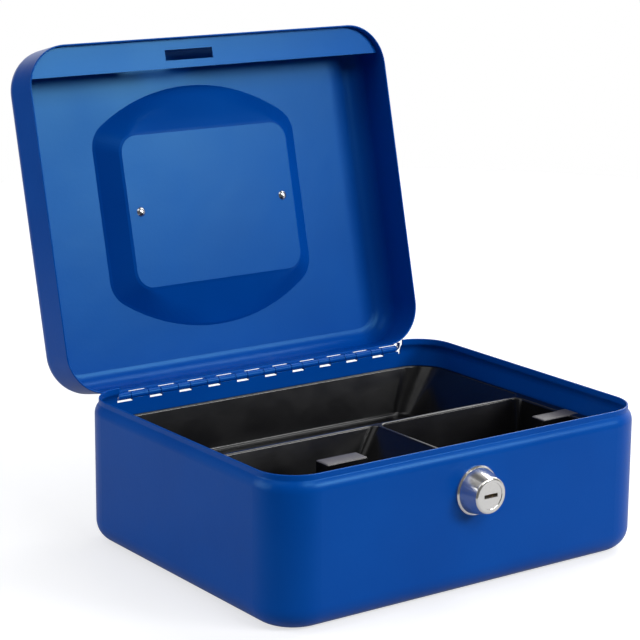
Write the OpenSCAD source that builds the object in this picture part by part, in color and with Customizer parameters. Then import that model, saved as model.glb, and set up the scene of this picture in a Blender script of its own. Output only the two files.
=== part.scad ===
// Steel cash box with a hinged lid, a cam lock, a folding carry handle and a lift-out coin tray.
// Millimetres. +Z is up, +X runs along the front to the right, +Y runs to the back.
// The origin is the centre of the base, on the surface that the box stands on.
// The lid is drawn closed and then swung open about the hinge wire.

/* [Box] */
// Outside width, left to right
box_w = 200; // [170:1:300]
// Outside depth, front to back
box_d = 160; // [140:1:220]
// Height of the closed lid's rim above the table
rim_z = 63.5; // [60:0.5:90]
// Height of the lid, from its rim to its top panel
lid_h = 26.5; // [25:0.5:36]
// Thickness of the sheet steel
sheet = 0.8; // [0.6:0.05:1]
// Outside radius of the upright corners
corner_r = 20; // [16:0.5:24]
// Outside radius of the body's bottom edge
base_r = 10; // [6:0.5:12]
// Outside radius of the lid's top edge
lid_edge_r = 9.2; // [6:0.2:12]
// Angle that the lid is swung open
lid_open = 103.6; // [0:0.1:108]

/* [Lip] */
// How far the lip stands in from the body's wall
lip_inset = 1.9; // [1.7:0.05:2.4]
// How far the lip rises inside the closed lid
lip_rise = 3.1; // [2.8:0.1:4]
// Outside radius of the bend at the top of the wall
shoulder_r = 6.5; // [5:0.1:7]
// Outside radius of the bend at the foot of the lip
lip_bend_r = 1; // [0.8:0.1:1.4]
// How far below the closed rim the wall starts to bend in
shoulder_drop = 4.1; // [3.9:0.1:5]

/* [Hinge] */
// Diameter of the hinge wire
wire_d = 1.8; // [1.4:0.1:1.9]
// Distance of the wire's axis behind the back wall
wire_back = 2; // [1.9:0.1:2.6]
// Distance of the wire's axis below the closed rim
wire_drop = 2.5; // [2.3:0.1:3.2]
// Distance from one knuckle of the body to the next
knuckle_pitch = 16; // [14:0.5:20]
// Width of a knuckle of the body
knuckle_w = 9; // [6:0.1:9.4]
// Width of a knuckle of the lid
hook_w = 6.3; // [5:0.1:6.8]
// Radial clearance between the wire and what turns on it
wire_fit = 0.06; // [0.02:0.01:0.1]

/* [Catch strip] */
// Depth of the strip's web, from the front wall inwards
catch_web = 13.5; // [12:0.5:16]
// Height of the leg that is welded to the front wall
catch_leg = 8; // [5:0.5:10]
// Gap between the top of the lip and the web
catch_gap = 0.4; // [0.3:0.1:1]
// Length of the slot that the cam reaches through
slot_l = 26.4; // [25:0.1:30]
// Width of that slot
slot_w = 5; // [4.6:0.1:6]

/* [Handle recess] */
// Width of the recess at the top panel
recess_w = 112; // [108:1:124]
// Length of the recess's straight sides
recess_side = 74.6; // [66:0.2:80]
// Length of the recess, front to back, over its two curved ends
recess_l = 113.5; // [108:0.5:122]
// Depth of the recess's flat floor below the top panel
recess_depth = 8.5; // [8:0.25:10]
// Width of the flat floor
floor_w = 93; // [90:0.5:98]
// Length of the flat floor, front to back
floor_l = 71.6; // [66:0.2:76]
// Place of the recess's centre, front to back
recess_y = -0.8; // [-4:0.1:4]
// Place of the recess's centre, left to right
recess_x = -0.8; // [-4:0.1:4]

/* [Handle] */
// Distance between the two rivets
rivet_span = 81; // [78:0.5:86]
// Diameter of the handle's wire
bail_d = 4.5; // [3.5:0.1:5]
// Reach of the handle, from its pivot to the middle of its grip
bail_reach = 38; // [30:0.5:42]
// Radius of the bends between grip and legs, at the middle of the wire
bail_bend_r = 9; // [6:0.5:12]
// Diameter of a rivet's shank
rivet_d = 3; // [2.5:0.1:3.5]
// Radial clearance of the handle in its posts
bail_fit = 0.05; // [0.02:0.01:0.1]

/* [Lock] */
// Height of the lock's axis above the table
lock_z = 45.5; // [40:0.5:47]
// Diameter of the lock's flange
flange_d = 21.7; // [20:0.1:24]
// Diameter of the lock's head where it leaves the flange
head_d = 20.2; // [17:0.1:21]
// Diameter of the lock's face
face_d = 13.7; // [13:0.1:16]
// How far the head stands out of the front wall
head_len = 10; // [8:0.1:12]
// Diameter of the threaded shank behind the wall
shank_d = 15.8; // [14:0.1:16]
// Distance from the outside of the front wall to the end of the shank
shank_len = 6.8; // [6:0.1:7]
// Diameter of the plug that the key turns
plug_d = 10; // [9.6:0.1:10.6]
// Width across the flats of the nut
nut_flats = 19; // [18:0.5:20]
// Thickness of the nut
nut_h = 3; // [2.5:0.1:3.2]
// Thickness of the cam
cam_t = 2; // [1.5:0.1:2.2]

/* [Tray] */
// Height of the tray's rim above the table
tray_z = 53.5; // [49:0.5:54]
// Depth of the compartments
tray_depth = 23.5; // [18:0.5:26]
// Thickness of the tray's plastic
tray_t = 1.5; // [1.2:0.1:2]
// Clearance between the tray's rim and the lip that it is lifted past
tray_gap = 0.5; // [0.4:0.1:1.5]
// Distance from the outside of the front wall to the tray's front edge
tray_front = 16; // [14:0.5:20]
// Place of the divider that runs from side to side
divider_y = 1; // [-10:0.5:15]
// Place of the divider that runs forward from it
divider_x = 8; // [-10:0.5:20]
// Thickness of the dividers at the rim
divider_t = 2.4; // [2:0.1:3]
// Slope of the compartments' ends, as run over their whole depth
end_run = 15; // [8:0.5:18]
// Width of the rim round the compartments
rim_w = 2.2; // [1.8:0.1:3]
// Width of the wider rim at the right end of the front right compartment
side_rim_w = 6; // [4:0.5:10]
// Width of the two lift grips
grip_w = 21.5; // [18:0.5:24]
// Thickness of the two lift grips
grip_t = 8.8; // [7:0.1:10]
// Place of the grips, front to back
grip_y = -32.4; // [-36:0.2:-26]
// Place of the left grip's middle
grip_x = -35.3; // [-50:0.5:-28]
// Diameter of the tray's feet
foot_d = 10; // [8:0.5:12]

/* [Hidden] */
$fn = 48;

// Clearance between pieces that only pass each other
free_gap = 0.3;
// Clearance round what is put in by hand, such as a screw in its hole
seat_gap = 0.05;
// How far a shape reaches into its neighbour, or a cut past a face
bite = 1;

// Heights of the shells
lid_top = rim_z + lid_h;
lip_top = rim_z + lip_rise;
shoulder_z = rim_z - shoulder_drop;
lip_angle = acos(1 - lip_inset / (shoulder_r + lip_bend_r));
lip_foot_z = shoulder_z + (shoulder_r + lip_bend_r) * sin(lip_angle);
// How far the bend at the lip's foot reaches into the shoulder, in degrees
bend_lap = 4;

// Hinge
wire_y = box_d / 2 + wire_back;
wire_z = rim_z - wire_drop;
knuckle_in_r = wire_d / 2 + wire_fit;
knuckle_out_r = knuckle_in_r + sheet;
knuckle_count = floor((box_w - 2 * corner_r) / knuckle_pitch);
hinge_left = -knuckle_count * knuckle_pitch / 2;
// The lid's knuckles stand left of the middle of each pitch
hook_shift = 3.2;
first_hook_x = hinge_left + knuckle_pitch / 2 - hook_shift;
first_knuckle_x = first_hook_x + knuckle_pitch / 2;
hinge_right = first_knuckle_x + (knuckle_count - 1) * knuckle_pitch + knuckle_w / 2;
// The back wall is cut lower between the body's knuckles, to clear those of the lid
notch_drop = 0.3;
back_wall_top = wire_z - knuckle_out_r - notch_drop;
// The open part of each knuckle, as angles round the wire
knuckle_open_from = 200;
knuckle_open_to = 270;
hook_open_from = 60;
hook_open_to = 150;
wire_bend_r = wire_d;
wire_left = first_hook_x - hook_w / 2;
wire_end_x = hinge_right + free_gap + wire_bend_r;
// The bent end stays inside the circle that the lid's rim swings round
wire_rise = sqrt(pow(norm([wire_back, wire_drop]) - free_gap, 2) - pow(wire_d / 2, 2));

// Catch strip and cam
catch_z = lip_top + catch_gap;
catch_weld = 0.2;
cam_y = -box_d / 2 + shank_len + free_gap + cam_t / 2;
cam_neck_left = -7;
cam_neck_right = 0.6;
cam_tip_x = 7.5;
cam_clear = 0.5;
cam_beak_h = 3;
cam_hub_r = 6.2;
slot_room = 0.6;
cam_hook_r = norm([cam_tip_x, catch_z + sheet + cam_clear - lock_z]);
cam_reach = cam_hook_r + cam_beak_h;
slot_right = cam_neck_right + slot_room;

// Lock, measured outwards from the outside of the front wall
flange_t = 1.2;
edge_round = 0.5;
face_round = 1.2;
plug_head_d = plug_d + 1.6;
plug_head_t = 1.6;
plug_recess = 0.3;
plug_foot = -shank_len - free_gap;
cam_back = plug_foot - cam_t;
tail_w = 5.4;
keyway_w = 7.2;
keyway_t = 1.7;
keyway_len = 13;
lock_washer_t = 0.8;
lock_washer_d = 21;
cam_washer_t = 0.6;
cam_washer_d = 8.4;
screw_d = 3;
screw_head_d = 6.4;
screw_head_h = 1.7;
screw_len = 4;
wafer_count = 5;
wafer_pitch = 2;
wafer_t = 0.9;
wafer_w = 8.4;
wafer_h = 4.4;
wafer_play = 0.1;
wafer_window_w = 6.4;
wafer_window_h = 2;
lug_w = 1;
lug_h = 1.3;
pocket_w = 4.8;
first_wafer = head_len - plug_head_t - 2.4;

// Handle recess and handle
recess_corner = 12;
floor_corner = 8;
recess_flare = 1.2;
flare_h = 0.8;
floor_flare = 1.3;
floor_flare_h = 0.6;
floor_z = lid_top - recess_depth;
pivot_h = 4.8;
post_w = 5.8;
post_d = 8;
post_base_d = 10;
post_base_t = 1.2;
rivet_x = rivet_span / 2;
rivet_head_d = 4.6;
rivet_head_h = 1.2;
rivet_grip = 2;
pivot_bend_r = 3;
leg_x = rivet_x + post_w / 2 + free_gap + pivot_bend_r;
bail_end = 0.8;
// A freely hanging handle, seen from the lid, stands off the recess by the lid's lean
bail_rest = max(0, lid_open - 90);

// Tray
lip_room = lip_inset + sheet + tray_gap;
tray_x = box_w / 2 - lip_room;
tray_back = box_d / 2 - lip_room;
tray_fore = -box_d / 2 + tray_front;
tray_back_r = corner_r - lip_room;
tray_fore_r = 8;
cell_r = 4;
cell_floor_r = 3;
side_run = 1.6;
floor_top = tray_z - tray_depth;
tray_right = tray_x - side_rim_w;
foot_x = tray_x - rim_w - end_run - foot_d;
foot_wall = 1.5;
foot_back = tray_back - 2 * foot_d;
foot_fore = tray_fore + 1.6 * foot_d;
grip_round = 1.2;

// ---------------------------------------------------------------- shared shapes

// A slice of a disc, less than half of it
module wedge(from, to, reach) {
    polygon([
        [0, 0],
        [reach * cos(from), reach * sin(from)],
        [reach * cos((from + to) / 2), reach * sin((from + to) / 2)],
        [reach * cos(to), reach * sin(to)]
    ]);
}

module ring(inner_r, outer_r) {
    difference() {
        circle(outer_r);
        circle(inner_r);
    }
}

// Part of a ring between two angles, less than half of it
module ring_sector(inner_r, outer_r, from, to) {
    intersection() {
        ring(inner_r, outer_r);
        wedge(from, to, 3 * outer_r);
    }
}

// Carries a wall's section round the box. The section's x is the distance outwards from the
// axis of a corner, and its y is the height.
module round_the_box() {
    run_x = box_w / 2 - corner_r;
    run_y = box_d / 2 - corner_r;
    for (side = [0:3]) {
        out = side % 2 == 0 ? run_x : run_y;
        along = side % 2 == 0 ? run_y : run_x;
        rotate(90 * side) translate([out, along, 0]) {
            rotate_extrude(angle = 90) children();
            rotate([90, 0, 0]) linear_extrude(2 * along) children();
        }
    }
}

// A plate between the axes of the four corners
module middle_plate(z) {
    translate([corner_r - box_w / 2, corner_r - box_d / 2, z])
        cube([box_w - 2 * corner_r, box_d - 2 * corner_r, sheet]);
}

// Swings what is drawn on the closed lid to where the lid stands
module on_the_lid() {
    translate([0, wire_y, wire_z]) rotate([-lid_open, 0, 0]) translate([0, -wire_y, -wire_z])
        children();
}

// Draws a section of y and z, counted from the wire's axis, over a length in x
module across_the_hinge(x, w) {
    translate([x, wire_y, wire_z]) rotate([90, 0, 90]) linear_extrude(w, center = true) children();
}

// Puts the lock's axis along z, outwards from the front wall
module at_the_lock() {
    translate([0, -box_d / 2, lock_z]) rotate([90, 0, 0]) children();
}

// A quarter bend of round wire: it starts along x and turns up to z
module wire_bend(bend_r, d) {
    translate([0, 0, bend_r]) rotate([90, 0, 0]) rotate(-90)
        rotate_extrude(angle = 90) translate([bend_r, 0]) circle(d / 2);
}

// ---------------------------------------------------------------- body

module body_section() {
    square([corner_r - base_r, sheet]);
    translate([corner_r - base_r, base_r]) ring_sector(base_r - sheet, base_r, 270, 360);
    translate([corner_r - sheet, base_r]) square([sheet, shoulder_z - base_r]);
    translate([corner_r - shoulder_r, shoulder_z])
        ring_sector(shoulder_r - sheet, shoulder_r, 0, lip_angle);
    translate([corner_r - lip_inset + lip_bend_r, lip_foot_z])
        ring_sector(lip_bend_r, lip_bend_r + sheet, 180, 180 + lip_angle + bend_lap);
    translate([corner_r - lip_inset - sheet, lip_foot_z])
        square([sheet, lip_top - sheet / 2 - lip_foot_z]);
    translate([corner_r - lip_inset - sheet / 2, lip_top - sheet / 2]) circle(sheet / 2);
}

// The wall's tab runs back under the wire and rolls up round it
module knuckle_section() {
    difference() {
        ring(knuckle_in_r, knuckle_out_r);
        wedge(knuckle_open_from, knuckle_open_to, 3 * knuckle_out_r);
    }
    translate([-wire_back - sheet, -knuckle_out_r]) square([wire_back + sheet, sheet]);
    translate([-wire_back - sheet, -knuckle_out_r - notch_drop - bite])
        square([sheet, notch_drop + bite + sheet]);
}

module body_shell() {
    color("royalblue") {
        difference() {
            union() {
                round_the_box() body_section();
                middle_plate(0);
            }
            translate([hinge_left, corner_r, back_wall_top])
                cube([hinge_right + bite - hinge_left, box_d, rim_z]);
            at_the_lock() translate([0, 0, -sheet - bite])
                cylinder(h = sheet + 2 * bite, d = shank_d + 2 * seat_gap);
        }
        for (i = [0:knuckle_count - 1])
            across_the_hinge(first_knuckle_x + i * knuckle_pitch, knuckle_w) knuckle_section();
    }
}

module hinge_pin() {
    color("silver") translate([0, wire_y, wire_z]) {
        translate([wire_left, 0, 0]) rotate([0, 90, 0])
            cylinder(h = wire_end_x - wire_bend_r - wire_left, d = wire_d);
        translate([wire_end_x - wire_bend_r, 0, 0]) wire_bend(wire_bend_r, wire_d);
        translate([wire_end_x, 0, wire_bend_r]) cylinder(h = wire_rise - wire_bend_r, d = wire_d);
    }
}

// ---------------------------------------------------------------- lid

module lid_section() {
    translate([corner_r - sheet / 2, rim_z + sheet / 2]) circle(sheet / 2);
    translate([corner_r - sheet, rim_z + sheet / 2])
        square([sheet, lid_h - lid_edge_r - sheet / 2]);
    translate([corner_r - lid_edge_r, lid_top - lid_edge_r])
        ring_sector(lid_edge_r - sheet, lid_edge_r, 0, 90);
    translate([0, lid_top - sheet]) square([corner_r - lid_edge_r, sheet]);
}

// The wall's tab leans back to the front of the wire and rolls down and round it
module hook_section() {
    wall_y = -wire_back - sheet;
    reach = knuckle_out_r * cos(hook_open_to);
    difference() {
        ring(knuckle_in_r, knuckle_out_r);
        wedge(hook_open_from, hook_open_to, 3 * knuckle_out_r);
    }
    polygon([
        [wall_y, wire_drop + sheet],
        [wall_y, wire_drop],
        [reach - sheet / 4, 0],
        [-knuckle_in_r - bite / 10, 0],
        [-knuckle_in_r * cos(30) - bite / 10, knuckle_in_r * sin(30)],
        [-wire_back, wire_drop + sheet]
    ]);
}

// Along the hinge the lid's wall runs lower, close to the body's knuckles
module skirt_section() {
    foot = sqrt(pow(knuckle_out_r + free_gap, 2) - pow(wire_back, 2));
    translate([-wire_back - sheet, foot]) square([sheet, wire_drop + sheet - foot]);
}

// The recess's outline at the panel: straight sides and two curved ends
module recess_outline(grow) {
    end_h = (recess_l - recess_side) / 2;
    end_r = (pow(recess_w / 2, 2) + pow(end_h, 2)) / (2 * end_h);
    offset(r = recess_corner + grow) offset(delta = -recess_corner) intersection() {
        square([recess_w, recess_l], center = true);
        translate([0, end_r - recess_l / 2]) circle(end_r, $fn = 96);
        translate([0, recess_l / 2 - end_r]) circle(end_r, $fn = 96);
    }
}

module floor_outline(grow) {
    offset(r = floor_corner + grow)
        square([floor_w - 2 * floor_corner, floor_l - 2 * floor_corner], center = true);
}

module slab(z, h = 0.01) {
    translate([recess_x, recess_y, z]) linear_extrude(h) children();
}

// The dished shape, lowered and widened for the underside of the sheet
module recess(lower, widen, rise) {
    top = lid_top - lower;
    hull() {
        slab(top, rise) recess_outline(widen + recess_flare);
        slab(top - flare_h) recess_outline(widen);
    }
    hull() {
        slab(top - flare_h) recess_outline(widen);
        slab(top - recess_depth + floor_flare_h) floor_outline(widen + floor_flare);
    }
    hull() {
        slab(top - recess_depth + floor_flare_h) floor_outline(widen + floor_flare);
        slab(top - recess_depth) floor_outline(widen);
    }
}

module lid_shell() {
    color("royalblue") on_the_lid() {
        difference() {
            union() {
                round_the_box() lid_section();
                middle_plate(lid_top - sheet);
                recess(sheet, 0.3 * sheet, sheet / 2);
            }
            recess(0, 0, bite);
            for (side = [-1, 1])
                translate([recess_x + side * rivet_x, recess_y, floor_z - sheet - bite])
                    cylinder(h = sheet + 2 * bite, d = rivet_d + 2 * seat_gap);
        }
        across_the_hinge((wire_left + hinge_right) / 2, hinge_right - wire_left) skirt_section();
        for (i = [0:knuckle_count - 1])
            across_the_hinge(first_hook_x + i * knuckle_pitch, hook_w) hook_section();
    }
}

// An angle welded inside the lid's front wall; its web lies over the body's lip
module catch_strip() {
    run_x = box_w / 2 - corner_r;
    wall_y = -box_d / 2 + sheet;
    color("royalblue") on_the_lid() {
        translate([0, 0, catch_z]) linear_extrude(sheet) difference() {
            intersection() {
                translate([-box_w / 2, wall_y]) square([box_w, catch_web]);
                union() {
                    translate([-run_x, wall_y]) square([2 * run_x, catch_web]);
                    for (side = [-1, 1]) translate([side * run_x, corner_r - box_d / 2])
                        circle(corner_r - sheet - catch_weld);
                }
            }
            translate([slot_right - slot_l, cam_y - slot_w / 2]) square([slot_l, slot_w]);
        }
        translate([-run_x, wall_y, catch_z]) cube([2 * run_x, sheet, sheet + catch_leg]);
    }
}

// ---------------------------------------------------------------- lock

module lock_barrel() {
    bore_r = plug_d / 2 + seat_gap;
    head_bore_r = plug_head_d / 2 + seat_gap;
    step = head_len - plug_head_t - plug_recess;
    color("gainsboro") at_the_lock() rotate_extrude() difference() {
        union() {
            polygon([
                [0, -shank_len],
                [shank_d / 2 - edge_round, -shank_len],
                [shank_d / 2, edge_round - shank_len],
                [shank_d / 2, 0],
                [flange_d / 2, 0],
                [flange_d / 2, flange_t - edge_round],
                [flange_d / 2 - edge_round, flange_t],
                [head_d / 2, flange_t],
                [face_d / 2 + face_round, head_len - face_round],
                [0, head_len - face_round]
            ]);
            translate([0, head_len - face_round - seat_gap])
                square([face_d / 2, face_round + seat_gap]);
            translate([face_d / 2, head_len - face_round]) circle(face_round);
        }
        translate([-bite, -shank_len - bite]) square([bore_r + bite, shank_len + head_len + 2 * bite]);
        translate([-bite, step]) square([head_bore_r + bite, head_len]);
    }
}

// Repeats a shape at each wafer's place along the plug
module each_wafer() {
    for (i = [0:wafer_count - 1]) translate([0, 0, first_wafer - i * wafer_pitch]) children();
}

module lock_plug() {
    slot_t = wafer_t + wafer_play;
    color("silver") at_the_lock() difference() {
        union() {
            translate([0, 0, plug_foot]) cylinder(h = head_len - plug_recess - plug_foot, d = plug_d);
            translate([0, 0, head_len - plug_recess - plug_head_t])
                cylinder(h = plug_head_t, d = plug_head_d);
            translate([-tail_w / 2, -tail_w / 2, cam_back + seat_gap])
                cube([tail_w, tail_w, cam_t + bite]);
        }
        translate([-keyway_w / 2, -keyway_t / 2, head_len - keyway_len])
            cube([keyway_w, keyway_t, keyway_len + bite]);
        each_wafer() {
            translate([-wafer_w / 2 - wafer_play, -wafer_h / 2 - wafer_play, -slot_t / 2])
                cube([wafer_w + 2 * wafer_play, wafer_h + 2 * wafer_play, slot_t]);
            translate([-pocket_w / 2, 0, -slot_t / 2])
                cube([pocket_w, wafer_h / 2 + lug_h + wafer_play, slot_t]);
        }
        translate([0, 0, cam_back - bite]) cylinder(h = screw_len + bite, d = screw_d + 2 * seat_gap);
    }
}

module lock_wafers() {
    color("goldenrod") at_the_lock() each_wafer() translate([0, 0, -wafer_t / 2])
        linear_extrude(wafer_t) {
            difference() {
                square([wafer_w, wafer_h], center = true);
                square([wafer_window_w, wafer_window_h], center = true);
            }
            translate([wafer_play - pocket_w / 2, wafer_h / 2 - wafer_play])
                square([lug_w, lug_h + wafer_play]);
        }
}

// Each spring bears on its wafer's lug and on the far end of the pocket
module wafer_springs() {
    spring_d = wafer_t - wafer_play;
    color("silver") at_the_lock() each_wafer()
        translate([wafer_play - pocket_w / 2 + lug_w, wafer_h / 2 + lug_h / 2, 0]) rotate([0, 90, 0])
            cylinder(h = pocket_w - lug_w - wafer_play, d = spring_d);
}

// Drawn as it stands when locked; the tip reaches over the web to the right of the slot
module cam_outline() {
    difference() {
        union() {
            circle(cam_hub_r);
            difference() {
                intersection() {
                    circle(cam_reach);
                    translate([cam_neck_left, 0]) square([cam_tip_x - cam_neck_left, 2 * cam_reach]);
                }
                intersection() {
                    circle(cam_hook_r);
                    translate([cam_neck_right, 0]) square([cam_reach, cam_reach]);
                }
            }
        }
        square(tail_w + 2 * seat_gap, center = true);
    }
}

module lock_cam() {
    color("silver") at_the_lock() translate([0, 0, cam_back]) linear_extrude(cam_t)
        rotate(90) cam_outline();
}

module cam_washer() {
    color("silver") at_the_lock() translate([0, 0, cam_back - cam_washer_t]) difference() {
        cylinder(h = cam_washer_t, d = cam_washer_d);
        translate([0, 0, -bite])
            cylinder(h = cam_washer_t + 2 * bite, d = screw_d + 2 * seat_gap);
    }
}

module cam_screw() {
    head = cam_back - cam_washer_t - screw_head_h;
    slot = 0.9;
    color("silver") at_the_lock() difference() {
        union() {
            translate([0, 0, head]) cylinder(h = screw_head_h, d = screw_head_d);
            translate([0, 0, head])
                cylinder(h = screw_head_h + cam_washer_t + screw_len - bite, d = screw_d);
        }
        for (turn = [0, 90]) rotate(turn) translate([-screw_head_d / 4, -slot / 2, head - bite])
            cube([screw_head_d / 2, slot, 2 * bite]);
    }
}

module lock_washer() {
    color("silver") at_the_lock() translate([0, 0, -sheet - lock_washer_t]) difference() {
        cylinder(h = lock_washer_t, d = lock_washer_d);
        translate([0, 0, -bite])
            cylinder(h = lock_washer_t + 2 * bite, d = shank_d + 2 * seat_gap);
    }
}

module lock_nut() {
    color("silver") at_the_lock() translate([0, 0, -sheet - lock_washer_t - nut_h]) difference() {
        cylinder(h = nut_h, d = nut_flats / cos(30), $fn = 6);
        translate([0, 0, -bite]) cylinder(h = nut_h + 2 * bite, d = shank_d + 2 * seat_gap);
    }
}

// ---------------------------------------------------------------- handle

// One half of the handle: half the grip, a bend, a leg, a bend and the end that turns in its post
module half_bail() {
    pin_end = rivet_x - post_w / 2 - bail_end;
    translate([0, bail_reach, 0]) rotate([0, 90, 0])
        cylinder(h = leg_x - bail_bend_r, d = bail_d);
    translate([leg_x - bail_bend_r, bail_reach, 0]) rotate([90, 0, 0])
        wire_bend(bail_bend_r, bail_d);
    translate([leg_x, pivot_bend_r, 0]) rotate([-90, 0, 0])
        cylinder(h = bail_reach - bail_bend_r - pivot_bend_r, d = bail_d);
    translate([leg_x - pivot_bend_r, 0, 0]) rotate([-90, 0, 0])
        wire_bend(pivot_bend_r, bail_d);
    translate([pin_end, 0, 0]) rotate([0, 90, 0])
        cylinder(h = leg_x - pivot_bend_r - pin_end, d = bail_d);
}

module handle_bail() {
    color("gainsboro") on_the_lid() translate([recess_x, recess_y, floor_z + pivot_h])
        rotate([bail_rest, 0, 0]) {
            half_bail();
            mirror([1, 0, 0]) half_bail();
        }
}

module handle_post(side) {
    color("gainsboro") on_the_lid() translate([recess_x + side * rivet_x, recess_y, floor_z]) difference() {
        union() {
            cylinder(h = post_base_t, d = post_base_d);
            translate([-post_w / 2, -post_d / 2, 0]) cube([post_w, post_d, pivot_h]);
            translate([-post_w / 2, 0, pivot_h]) rotate([0, 90, 0])
                cylinder(h = post_w, d = post_d);
        }
        translate([-post_w, 0, pivot_h]) rotate([0, 90, 0])
            cylinder(h = 2 * post_w, d = bail_d + 2 * bail_fit);
        translate([0, 0, -bite]) cylinder(h = rivet_grip + bite + seat_gap, d = rivet_d + 2 * seat_gap);
    }
}

module handle_post_left() {
    handle_post(-1);
}

module handle_post_right() {
    handle_post(1);
}

// The rivets' heads show on the inside of the lid
module handle_rivets() {
    dome_r = (pow(rivet_head_d / 2, 2) + pow(rivet_head_h, 2)) / (2 * rivet_head_h);
    color("gainsboro") on_the_lid() for (side = [-1, 1])
        translate([recess_x + side * rivet_x, recess_y, floor_z - sheet]) {
            rotate_extrude() intersection() {
                translate([0, dome_r - rivet_head_h]) circle(dome_r);
                translate([0, -rivet_head_h]) square([rivet_head_d, rivet_head_h]);
            }
            cylinder(h = sheet + rivet_grip, d = rivet_d);
        }
}

// ---------------------------------------------------------------- tray

module tray_outline() {
    square([2 * tray_x, 2 * (tray_back - tray_back_r)], center = true);
    translate([tray_back_r - tray_x, 0]) square([2 * (tray_x - tray_back_r), tray_back]);
    translate([tray_fore_r - tray_x, tray_fore])
        square([2 * (tray_x - tray_fore_r), tray_fore_r - tray_fore]);
    for (side = [-1, 1]) {
        translate([side * (tray_x - tray_back_r), tray_back - tray_back_r]) circle(tray_back_r);
        translate([side * (tray_x - tray_fore_r), tray_fore + tray_fore_r]) circle(tray_fore_r);
    }
}

// A rectangle between two corners, given by its left, front, right and back edges, with round
// corners; the back ones have their own radius
module cell_outline(edges, fore_r, back_r) {
    for (side = [0, 1]) {
        translate([side == 0 ? edges[0] + fore_r : edges[2] - fore_r, edges[1] + fore_r])
            circle(fore_r, $fn = 32);
        translate([side == 0 ? edges[0] + back_r : edges[2] - back_r, edges[3] - back_r])
            circle(back_r, $fn = 32);
    }
}

// A compartment with sloping ends; it is grown by the plastic's thickness for the outside
module cell(edges, runs, back_r, grow) {
    rim = [edges[0] - grow, edges[1] - grow, edges[2] + grow, edges[3] + grow];
    bed = [rim[0] + runs[0], rim[1] + side_run, rim[2] - runs[1], rim[3] - side_run];
    floor_back_r = max(cell_floor_r, back_r / 2);
    hull() {
        translate([0, 0, tray_z - grow / 2]) linear_extrude(grow > 0 ? 0.01 : bite)
            cell_outline(rim, cell_r, back_r);
        translate([0, 0, floor_top - grow]) linear_extrude(0.01)
            cell_outline(bed, cell_floor_r, floor_back_r);
    }
}

module cells(grow) {
    half_t = divider_t / 2;
    left = rim_w - tray_x;
    fore = tray_fore + rim_w;
    cell([left, divider_y + half_t, -left, tray_back - rim_w], [end_run, end_run],
        tray_back_r - rim_w, grow);
    cell([left, fore, divider_x - half_t, divider_y - half_t], [end_run, end_run], cell_r, grow);
    cell([divider_x + half_t, fore, tray_right, divider_y - half_t], [side_run, side_run],
        cell_r, grow);
}

module grip(left) {
    translate([left, grip_y - grip_t / 2, floor_top - tray_t / 2])
        cube([grip_w, grip_t, tray_depth + tray_t / 2]);
}

module tray() {
    color([0.09, 0.09, 0.1]) {
        difference() {
            union() {
                translate([0, 0, tray_z - tray_t]) linear_extrude(tray_t) tray_outline();
                cells(tray_t);
            }
            cells(0);
        }
        grip(grip_x - grip_w / 2);
        grip(tray_x - grip_w);
        for (x = [-foot_x, foot_x], y = [foot_fore, foot_back]) translate([x, y, sheet]) difference() {
            cylinder(h = floor_top - tray_t / 2 - sheet, d = foot_d);
            translate([0, 0, -bite])
                cylinder(h = floor_top - tray_t - sheet + bite, d = foot_d - 2 * foot_wall);
        }
    }
}

body_shell();
lid_shell();
catch_strip();
hinge_pin();
lock_barrel();
lock_plug();
lock_wafers();
wafer_springs();
lock_cam();
cam_washer();
cam_screw();
lock_washer();
lock_nut();
handle_bail();
handle_post_left();
handle_post_right();
handle_rivets();
tray();
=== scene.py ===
import math

import bmesh
import bpy
from mathutils import Matrix, Vector


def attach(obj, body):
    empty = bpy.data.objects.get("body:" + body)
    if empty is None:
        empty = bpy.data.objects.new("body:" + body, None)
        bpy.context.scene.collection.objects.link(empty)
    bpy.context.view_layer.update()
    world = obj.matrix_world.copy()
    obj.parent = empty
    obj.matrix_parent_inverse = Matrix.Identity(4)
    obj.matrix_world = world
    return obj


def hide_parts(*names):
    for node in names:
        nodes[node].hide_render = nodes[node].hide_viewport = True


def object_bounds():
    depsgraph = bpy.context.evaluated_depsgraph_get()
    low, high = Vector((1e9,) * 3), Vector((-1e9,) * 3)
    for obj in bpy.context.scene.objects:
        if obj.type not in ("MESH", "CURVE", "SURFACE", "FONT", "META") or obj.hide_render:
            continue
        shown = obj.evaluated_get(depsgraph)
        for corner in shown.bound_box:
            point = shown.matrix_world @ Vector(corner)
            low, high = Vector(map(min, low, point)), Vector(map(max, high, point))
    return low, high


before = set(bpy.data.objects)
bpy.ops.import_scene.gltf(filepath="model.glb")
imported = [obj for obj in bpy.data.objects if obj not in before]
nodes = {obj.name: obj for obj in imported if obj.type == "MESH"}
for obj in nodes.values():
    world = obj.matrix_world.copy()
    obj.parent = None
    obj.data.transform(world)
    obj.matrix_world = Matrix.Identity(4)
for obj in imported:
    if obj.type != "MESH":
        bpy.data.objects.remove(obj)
cad_box = [list(corner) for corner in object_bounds()]
scene = bpy.context.scene
MM = 0.001
WHITE = (1, 1, 1, 1)


def toward(az, el):
    """The way from the object to a place, by degrees round from its front and degrees up."""
    az, el = math.radians(az), math.radians(el)
    return Vector((math.sin(az) * math.cos(el), -math.cos(az) * math.cos(el), math.sin(el)))


# ---------------------------------------------------------------- camera

# Where the camera stands and how it is turned: degrees and millimetres
VIEW_AZ, VIEW_EL, VIEW_ROLL = -35.8223, 13.5152, 0.465
VIEW_DISTANCE, VIEW_RIGHT, VIEW_UP = 1009.39, -19.4389, 100.0334
# Its focal length and the width of its picture, in pixels
FOCAL_PIXELS, PICTURE_PIXELS = 2226.47, 640
# The usual sensor's width in millimetres, and the nearest and furthest that is seen, in metres
SENSOR_WIDTH, NEAREST, FURTHEST = 36, 0.01, 20


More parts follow.
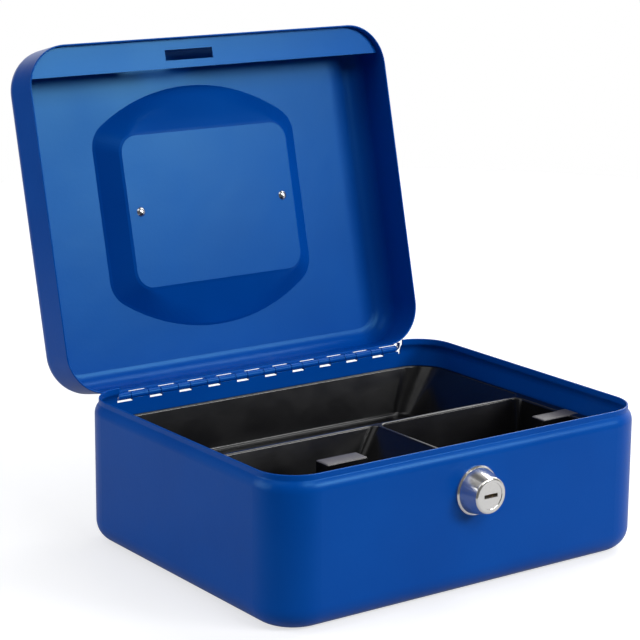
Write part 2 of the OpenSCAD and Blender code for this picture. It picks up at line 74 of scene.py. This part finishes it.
def make_camera():
    back, roll = toward(VIEW_AZ, VIEW_EL), math.radians(VIEW_ROLL)
    right = (-back).cross(Vector((0, 0, 1))).normalized()
    up = right.cross(-back)
    place = (right * VIEW_RIGHT + up * VIEW_UP + back * VIEW_DISTANCE) * MM
    across = math.cos(roll) * right + math.sin(roll) * up
    upright = math.cos(roll) * up - math.sin(roll) * right
    data = bpy.data.cameras.new("camera")
    data.sensor_fit = "HORIZONTAL"
    data.sensor_width = SENSOR_WIDTH
    data.lens = FOCAL_PIXELS * SENSOR_WIDTH / PICTURE_PIXELS
    data.clip_start = NEAREST
    data.clip_end = FURTHEST
    cam = bpy.data.objects.new("camera", data)
    scene.collection.objects.link(cam)
    turn = Matrix((across, upright, back)).transposed().to_4x4()
    cam.matrix_world = Matrix.Translation(place) @ turn
    scene.camera = cam


# ---------------------------------------------------------------- materials

# A noise's middle values, which a range of colours or of roughness is spread over
NOISE_LOW, NOISE_HIGH = 0.3, 0.7

# What the paint reflects is tinted with this
BLUE_GLEAM = (0.19, 0.66, 1.0, 1)
# The sizes of its drift in colour, its waves and its orange peel, and the height of the last two
PAINT_PATCH, PAINT_WAVE, PAINT_PEEL = 45 * MM, 12 * MM, 1.6 * MM
PAINT_WAVE_HIGH, PAINT_PEEL_HIGH = 0.07 * MM, 0.03 * MM

# The smoothest and roughest spots of a metal, as shares of its own roughness
METAL_SMOOTH, METAL_ROUGH = 0.75, 1.3
# The size of a metal's grain, the finer grain of drawn wire, and the grain's height on zinc
METAL_GRAIN, WIRE_GRAIN, ZINC_HIGH = 1 * MM, 0.6 * MM, 0.01 * MM

# The sizes of the plastic's drift in gloss, of its waves and of the grain on the grips
PLASTIC_PATCH, PLASTIC_WAVE, GRIP_GRAIN = 20 * MM, 9 * MM, 0.5 * MM
# The heights of the last two, and how rough the grips are
PLASTIC_WAVE_HIGH, GRIP_GRAIN_HIGH, GRIP_ROUGHNESS = 0.1 * MM, 0.04 * MM, 0.45
# Where the tops of the tray's two lift grips are
GRIP_LEFT, GRIP_W = (-46.05 * MM, 75.3 * MM), 21.5 * MM
GRIP_FRONT, GRIP_T, GRIP_TOP = -36.8 * MM, 8.8 * MM, 53.1 * MM


def srgb(r, g, b):
    out = []
    for v in (r / 255, g / 255, b / 255):
        out.append(v / 12.92 if v <= 0.04045 else ((v + 0.055) / 1.055) ** 2.4)
    return (*out, 1)


class Nodes:
    """Adds nodes to a tree. An input's value is either a socket, which is linked, or a number."""

    def __init__(self, tree):
        self.tree = tree

    def fill(self, socket, value):
        if isinstance(value, bpy.types.NodeSocket):
            self.tree.links.new(value, socket)
        else:
            socket.default_value = value

    def node(self, kind, inputs=None, **settings):
        n = self.tree.nodes.new(kind)
        for key, value in settings.items():
            setattr(n, key, value)
        for key, value in (inputs or {}).items():
            self.fill(n.inputs[key], value)
        return n

    def math(self, kind, *values):
        return self.node("ShaderNodeMath", dict(enumerate(values)), operation=kind).outputs[0]

    def span(self, value, low, high, to_low, to_high):
        """A value moved from one range to another."""
        facts = {0: value, 1: low, 2: high, 3: to_low, 4: to_high}
        return self.node("ShaderNodeMapRange", facts).outputs[0]

    def rays(self):
        """Which kind of ray is asking, by name."""
        return self.node("ShaderNodeLightPath").outputs


class Shader(Nodes):
    """A material and the nodes that are put in it. A _ in an input's name is a space."""

    def __init__(self, name, **inputs):
        self.material = bpy.data.materials.new(name)
        self.material.use_nodes = True
        super().__init__(self.material.node_tree)
        self.bsdf = self.tree.nodes["Principled BSDF"]
        for key, value in inputs.items():
            self.put(value, key.replace("_", " "))

    def put(self, value, name):
        self.fill(self.bsdf.inputs[name], value)

    def where(self):
        return self.node("ShaderNodeTexCoord").outputs["Object"]

    def noise(self, size, detail=2, rough=0.5):
        facts = {"Vector": self.where(), "Scale": 1 / size, "Detail": detail, "Roughness": rough}
        return self.node("ShaderNodeTexNoise", facts).outputs["Fac"]

    def numbers(self, noise, low, high):
        return self.span(noise, NOISE_LOW, NOISE_HIGH, low, high)

    def colours(self, noise, low, high):
        n = self.node("ShaderNodeValToRGB", {"Fac": noise})
        first, last = n.color_ramp.elements
        first.position, first.color = NOISE_LOW, low
        last.position, last.color = NOISE_HIGH, high
        return n.outputs["Color"]

    def bump(self, height, distance, under=None):
        facts = {"Height": height, "Distance": distance, "Strength": 1.0}
        if under:
            facts["Normal"] = under
        return self.node("ShaderNodeBump", facts).outputs[0]

    def window(self, value, low, high):
        """1 between two places, else 0."""
        above = self.math("GREATER_THAN", value, low)
        below = self.math("LESS_THAN", value, high)
        return self.math("MULTIPLY", above, below)

    def mix(self, share, a, b, kind="RGBA"):
        n = self.node("ShaderNodeMix", data_type=kind)
        for name, value in (("Factor", share), ("A", a), ("B", b)):
            self.fill(next(i for i in n.inputs if i.name == name and i.enabled), value)
        return next(o for o in n.outputs if o.enabled)


def blue_enamel():
    """Powder coat: its colour and gloss drift a little, over faint waves with orange peel."""
    s = Shader("blue_enamel", IOR=1.33, Specular_Tint=BLUE_GLEAM)
    patch = s.noise(PAINT_PATCH)
    s.put(s.colours(patch, srgb(0, 67, 155), srgb(0, 72, 162)), "Base Color")
    s.put(s.numbers(patch, 0.28, 0.33), "Roughness")
    wave = s.bump(s.noise(PAINT_WAVE, detail=1, rough=0.4), PAINT_WAVE_HIGH)
    peel = s.bump(s.noise(PAINT_PEEL, rough=0.55), PAINT_PEEL_HIGH, wave)
    s.put(peel, "Normal")
    return s.material


def metal(name, colour, rough, high=0.0, size=METAL_GRAIN, share=1.0):
    """A metal whose gloss varies with its grain. The share is how metallic it is."""
    s = Shader(name, Base_Color=colour, Metallic=share)
    grain = s.noise(size, detail=3)
    s.put(s.numbers(grain, rough * METAL_SMOOTH, rough * METAL_ROUGH), "Roughness")
    if high:
        s.put(s.bump(grain, high), "Normal")
    return s.material


def tray_black():
    """Glossy black plastic, with a matt grain on the tops of the two lift grips, whose light grey
    there is a painted sheen.
    """
    s = Shader("tray_black", IOR=1.46)
    x, y, z = s.node("ShaderNodeSeparateXYZ", {0: s.where()}).outputs
    grip = s.math("MAXIMUM", *(s.window(x, left, left + GRIP_W) for left in GRIP_LEFT))
    grip = s.math("MULTIPLY", grip, s.window(y, GRIP_FRONT, GRIP_FRONT + GRIP_T))
    grip = s.math("MULTIPLY", grip, s.math("GREATER_THAN", z, GRIP_TOP))
    grain = s.noise(GRIP_GRAIN)
    # The grip tops' light grey base colour is a painted sheen on the black plastic; their roughness
    # and grain bump are the real matt finish.
    painted_grip_sheen = s.colours(grain, srgb(70, 68, 70), srgb(98, 95, 97))
    s.put(s.mix(grip, srgb(10, 10, 12), painted_grip_sheen), "Base Color")
    gloss = s.numbers(s.noise(PLASTIC_PATCH), 0.2, 0.27)
    s.put(s.mix(grip, gloss, GRIP_ROUGHNESS, "FLOAT"), "Roughness")
    wave = s.bump(s.noise(PLASTIC_WAVE), PLASTIC_WAVE_HIGH)
    s.put(s.bump(s.math("MULTIPLY", grain, grip), GRIP_GRAIN_HIGH, wave), "Normal")
    return s.material


FINISH = {
    "body_shell": "blue_enamel",
    "lid_shell": "blue_enamel",
    "catch_strip": "blue_enamel",
    "hinge_pin": "zinc_wire",
    "lock_barrel": "lock_chrome",
    "lock_plug": "lock_chrome",
    "lock_wafers": "wafer_brass",
    "wafer_springs": "zinc_wire",
    "lock_cam": "zinc_steel",
    "cam_washer": "zinc_steel",
    "cam_screw": "zinc_steel",
    "lock_washer": "zinc_steel",
    "lock_nut": "zinc_steel",
    "handle_bail": "handle_chrome",
    "handle_post_left": "handle_chrome",
    "handle_post_right": "handle_chrome",
    "handle_rivets": "rivet_steel",
    "tray": "tray_black",
}


def dress():
    """Make each material once, and give every piece of the CAD its own."""
    made = {
        "blue_enamel": blue_enamel(),
        "zinc_wire": metal("zinc_wire", srgb(205, 208, 212), 0.22, ZINC_HIGH, WIRE_GRAIN),
        "lock_chrome": metal("lock_chrome", srgb(228, 226, 222), 0.16, share=0.9),
        "wafer_brass": metal("wafer_brass", srgb(200, 160, 88), 0.3),
        "zinc_steel": metal("zinc_steel", srgb(190, 192, 190), 0.32, ZINC_HIGH),
        "handle_chrome": metal("handle_chrome", srgb(222, 222, 224), 0.1),
        "rivet_steel": metal("rivet_steel", srgb(214, 216, 220), 0.2),
        "tray_black": tray_black(),
    }
    for name, node in nodes.items():
        node.data.materials.clear()
        node.data.materials.append(made[FINISH[name]])
    return made


# ---------------------------------------------------------------- tray

# The fillets' radius, the share of it that rims and upright corners get, and steps in a round
TRAY_ROUND, RIM_SHARE, ROUND_STEPS = 1.6 * MM, 0.5, 4
# How deep the floor lies under the rims, and how close to a height counts as being at it
TRAY_DEPTH, TRAY_NEAR = 23.5 * MM, 0.1 * MM
# Faces that turn by less than the first are made one, and turns under the second stay sharp
FLAT_TURN, SHARP_TURN = math.radians(1), math.radians(28)
# An upright corner's least length, and the least share of its length that is height
UPRIGHT_LENGTH, UPRIGHT_SHARE = 10 * MM, 0.99
# Corners of the mesh that are closer than this, in metres, are one
SAME_CORNER = 1e-6


def edge_share(edge, top, bed):
    """How much of the full rounding an edge of the tray gets."""
    if len(edge.link_faces) != 2 or edge.calc_face_angle() < SHARP_TURN:
        return 0
    low, high = sorted(v.co.z for v in edge.verts)
    if low > top - TRAY_NEAR:
        return RIM_SHARE
    if abs(low - bed) < TRAY_NEAR and abs(high - bed) < TRAY_NEAR:
        return 1
    along = edge.verts[0].co - edge.verts[1].co
    upright = abs(along.z) > UPRIGHT_SHARE * along.length and along.length > UPRIGHT_LENGTH
    return RIM_SHARE if upright and high > top - TRAY_NEAR else 0


def moulded_tray(plastic):
    """The tray again, with the round rims and floor fillets that a moulding has."""
    mesh = nodes["tray"].data.copy()
    bm = bmesh.new()
    bm.from_mesh(mesh)
    bmesh.ops.remove_doubles(bm, verts=bm.verts, dist=SAME_CORNER)
    bmesh.ops.dissolve_limit(
        bm,
        angle_limit=FLAT_TURN,
        use_dissolve_boundaries=False,
        verts=bm.verts,
        edges=bm.edges,
    )
    top = max(v.co.z for v in bm.verts)
    share = bm.edges.layers.float.new("bevel_weight_edge")
    for edge in bm.edges:
        edge[share] = edge_share(edge, top, top - TRAY_DEPTH)
    bm.to_mesh(mesh)
    bm.free()
    mesh.materials.clear()
    mesh.materials.append(plastic)
    for face in mesh.polygons:
        face.use_smooth = True
    piece = bpy.data.objects.new("moulded_tray", mesh)
    scene.collection.objects.link(piece)
    rounding = piece.modifiers.new("round", "BEVEL")
    rounding.width = TRAY_ROUND
    rounding.segments = ROUND_STEPS
    rounding.limit_method = "WEIGHT"
    rounding.use_clamp_overlap = False
    rounding.harden_normals = True
    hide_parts("tray")
    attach(piece, "tray")


# ---------------------------------------------------------------- stage and light

# The floor's middle and radius in metres, its sides, and how far it lies under the object
FLOOR_AT, FLOOR_R, FLOOR_SIDES, FLOOR_DROP = (0.25, 0.3), 0.62, 128, 0.2 * MM
# How much the camera sees it lifted towards white, and the share of that which gloss sees
FLOOR_LIFT, FLOOR_SHINE = 0.66, 0.12
# How bright the dim room is, beside the white backdrop's 1
FILL = 0.1
# The way to the backdrop's middle, and about the cosines where it starts and is fully white
BACKDROP_WAY, BACKDROP_EDGE = (0.8, 0.6, 0.1), (0.4, 0.75)
# The point that the lamps face and how far from it they stand, in metres
LIT_POINT, LAMP_REACH = Vector((0, 0, 0.08)), 1.6
# Each lamp's name, degrees round from the front, degrees up, watts, and size in metres
LAMPS = (
    ("left", -112, 14, 11, (1.1, 1.0)),
    ("left_high", -80, 58, 4, (1.1, 1.0)),
    ("key", 31, 23, 13, (0.5, 0.4)),
    ("high_front", 5, 40, 8, (0.6, 0.5)),
    ("top", 80, 62, 4, (0.5, 0.5)),
    ("back_right", 112, 38, 15, (1.1, 1.0)),
)


def backdrop():
    """A round table top of pale card, which runs back from the object."""
    mesh = bpy.data.meshes.new("floor")
    bm = bmesh.new()
    bmesh.ops.create_circle(bm, cap_ends=True, segments=FLOOR_SIDES, radius=FLOOR_R)
    bm.to_mesh(mesh)
    bm.free()
    floor = bpy.data.objects.new("floor", mesh)
    floor.location = (*FLOOR_AT, cad_box[0][2] - FLOOR_DROP)
    scene.collection.objects.link(floor)
    s = Shader("floor", Base_Color=srgb(175, 176, 179), Roughness=0.7, Emission_Color=WHITE)
    rays = s.rays()
    seen = s.math("MULTIPLY_ADD", rays["Is Glossy Ray"], FLOOR_SHINE, rays["Is Camera Ray"])
    s.put(s.math("MULTIPLY", seen, FLOOR_LIFT), "Emission Strength")
    mesh.materials.append(s.material)


def room():
    """White to the camera. Gloss sees a white backdrop in one direction and a dim room round it."""
    world = bpy.data.worlds.new("world")
    scene.world = world
    world.use_nodes = True
    w = Nodes(world.node_tree)
    rays = w.rays()
    way = w.node("ShaderNodeTexCoord").outputs["Generated"]
    facing = w.node("ShaderNodeVectorMath", {0: way, 1: BACKDROP_WAY}, operation="DOT_PRODUCT")
    wall = w.span(facing.outputs["Value"], *BACKDROP_EDGE, FILL, 1.0)
    shiny = w.math("MULTIPLY", rays["Is Glossy Ray"], wall)
    level = w.math("MAXIMUM", w.math("MAXIMUM", shiny, FILL), rays["Is Camera Ray"])
    sky = w.tree.nodes["Background"]
    w.fill(sky.inputs["Color"], WHITE)
    w.fill(sky.inputs["Strength"], level)


def lamp(name, az, el, power, size):
    """A soft box that faces the object."""
    way = toward(az, el)
    data = bpy.data.lights.new(name, "AREA")
    data.shape = "RECTANGLE"
    data.size, data.size_y = size
    data.energy = power
    box = bpy.data.objects.new(name, data)
    scene.collection.objects.link(box)
    box.location = LIT_POINT + LAMP_REACH * way
    box.rotation_euler = (-way).to_track_quat("-Z", "Y").to_euler()


make_camera()
made = dress()
moulded_tray(made["tray_black"])
backdrop()
room()
for facts in LAMPS:
    lamp(*facts)
scene.view_settings.view_transform = "Standard"
